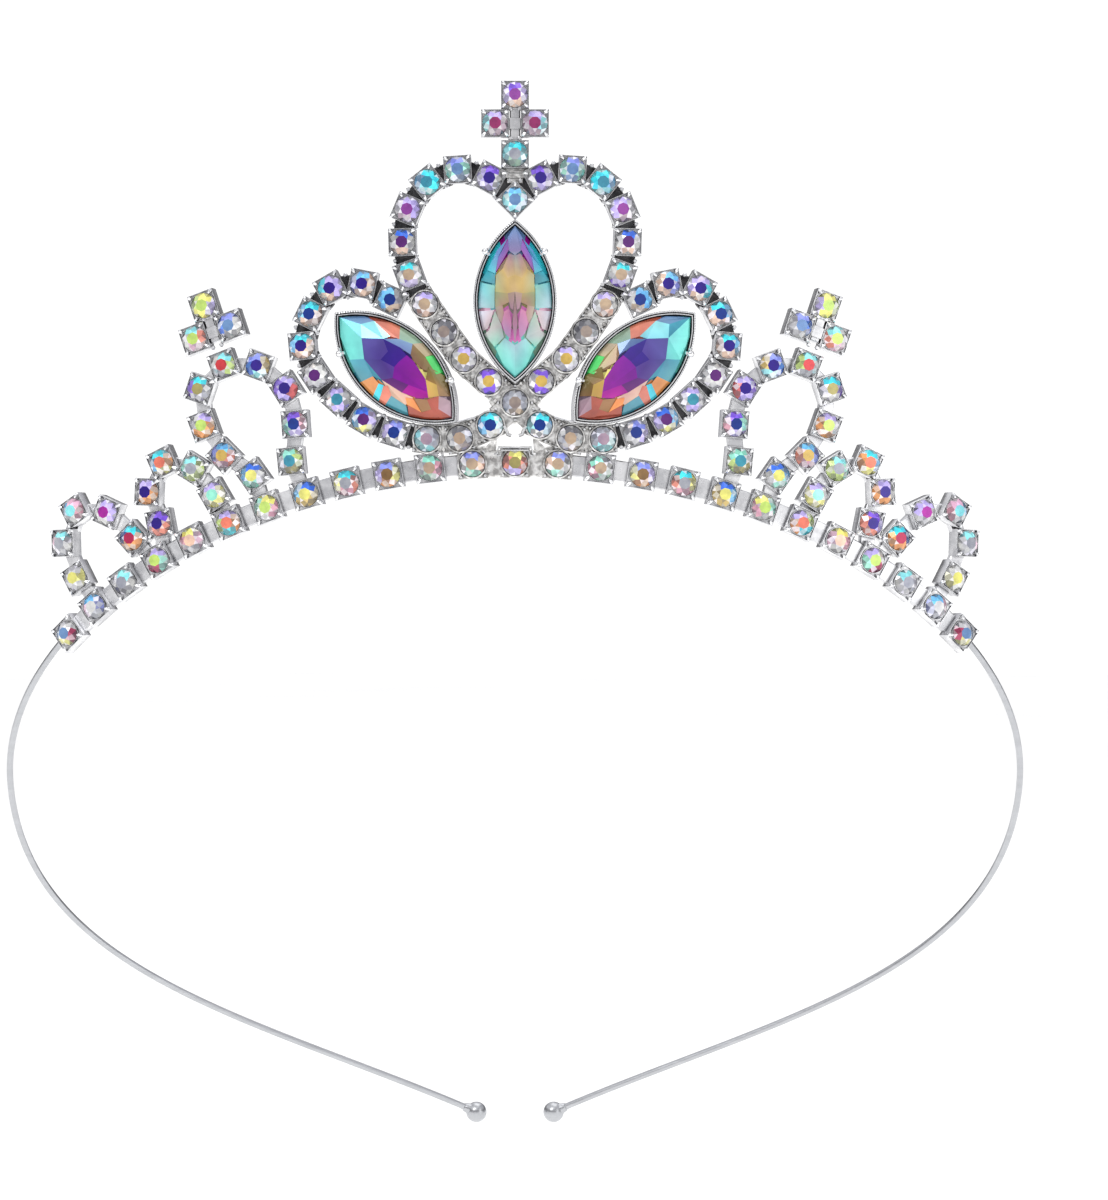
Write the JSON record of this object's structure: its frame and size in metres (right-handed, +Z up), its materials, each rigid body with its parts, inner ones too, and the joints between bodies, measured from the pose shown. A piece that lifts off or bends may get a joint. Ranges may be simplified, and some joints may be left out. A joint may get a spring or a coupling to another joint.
{
  "type": "bridal tiara",
  "caption": "Silver-tone bridal tiara: a sprung wire headband carries rhinestone arches, crosses and a heart round pointed oval stones.",
  "frame": {"origin": "middle of the headband wire at the front, where the tiara sits on the hair", "axes": "+X to the right seen from the front, +Y back over the head, +Z up; the hoop leans back 30 degrees from upright and the stones stand upright"},
  "size_m": [0.1418, 0.0601, 0.1453],
  "materials": {
    "silver_plate": "bright silver plate on cast and pressed stone cups",
    "spring_wire": "smooth drawn spring wire, satin silver",
    "round_stone": "cut glass with an iridescent coating, blue, violet, pink and yellow-green",
    "gold_marquise": "cut glass with an iridescent coating, gold and mauve table with turquoise edges",
    "violet_marquise": "cut glass with an iridescent coating, violet table with teal, coral and gold edges"
  },
  "bodies": {
    "tiara": {"headband_front_rail": "spring_wire", "base_cup_chain": "silver_plate", "heart_cup_chain": "silver_plate", "heart_stone_1": "round_stone", "heart_stone_2": "round_stone", "heart_stone_3": "round_stone", "heart_stone_4": "round_stone", "heart_stone_5": "round_stone", "heart_stone_6": "round_stone", "heart_stone_7": "round_stone", "heart_stone_8": "round_stone", "heart_stone_9": "round_stone", "heart_stone_10": "round_stone", "heart_stone_11": "round_stone", "heart_stone_12": "round_stone", "heart_stone_13": "round_stone", "heart_stone_14": "round_stone", "heart_stone_15": "round_stone", "heart_stone_16": "round_stone", "heart_stone_17": "round_stone", "heart_stone_18": "round_stone", "heart_stone_19": "round_stone", "heart_stone_20": "round_stone", "heart_stone_21": "round_stone", "heart_stone_22": "round_stone", "top_cross": "silver_plate", "top_cross_stone_1": "round_stone", "top_cross_stone_2": "round_stone", "top_cross_stone_3": "round_stone", "top_cross_stone_4": "round_stone", "centre_marquise_setting": "silver_plate", "centre_marquise_stone": "gold_marquise", "right_outer_arch": "silver_plate", "right_middle_arch": "silver_plate", "right_inner_arch": "silver_plate", "right_crown_loop": "silver_plate", "right_cross": "silver_plate", "right_cross_stone_1": "round_stone", "right_cross_stone_2": "round_stone", "right_cross_stone_3": "round_stone", "right_marquise_setting": "silver_plate", "right_marquise_stone": "violet_marquise", "left_outer_arch": "silver_plate", "left_middle_arch": "silver_plate", "left_inner_arch": "silver_plate", "left_crown_loop": "silver_plate", "left_cross": "silver_plate", "left_cross_stone_1": "round_stone", "left_cross_stone_2": "round_stone", "left_cross_stone_3": "round_stone", "left_marquise_setting": "silver_plate", "left_marquise_stone": "violet_marquise"},
    "right_arm": {"right_headband_arm": "spring_wire", "right_end_ball": "spring_wire"},
    "left_arm": {"left_headband_arm": "spring_wire", "left_end_ball": "spring_wire"}
  },
  "joints": [
    {"name": "right_arm_flex", "type": "hinge", "parent": "tiara", "child": "right_arm", "pos_m": [0.06335, 0.01529, -0.02544], "axis": [0, -0.866, -0.5], "range_deg": [-1.5, 20], "stiffness_Nm_per_rad": 0.05},
    {"name": "left_arm_flex", "type": "hinge", "parent": "tiara", "child": "left_arm", "pos_m": [-0.06335, 0.01529, -0.02544], "axis": [0, 0.866, 0.5], "range_deg": [-1.5, 20], "stiffness_Nm_per_rad": 0.05}
  ]
}
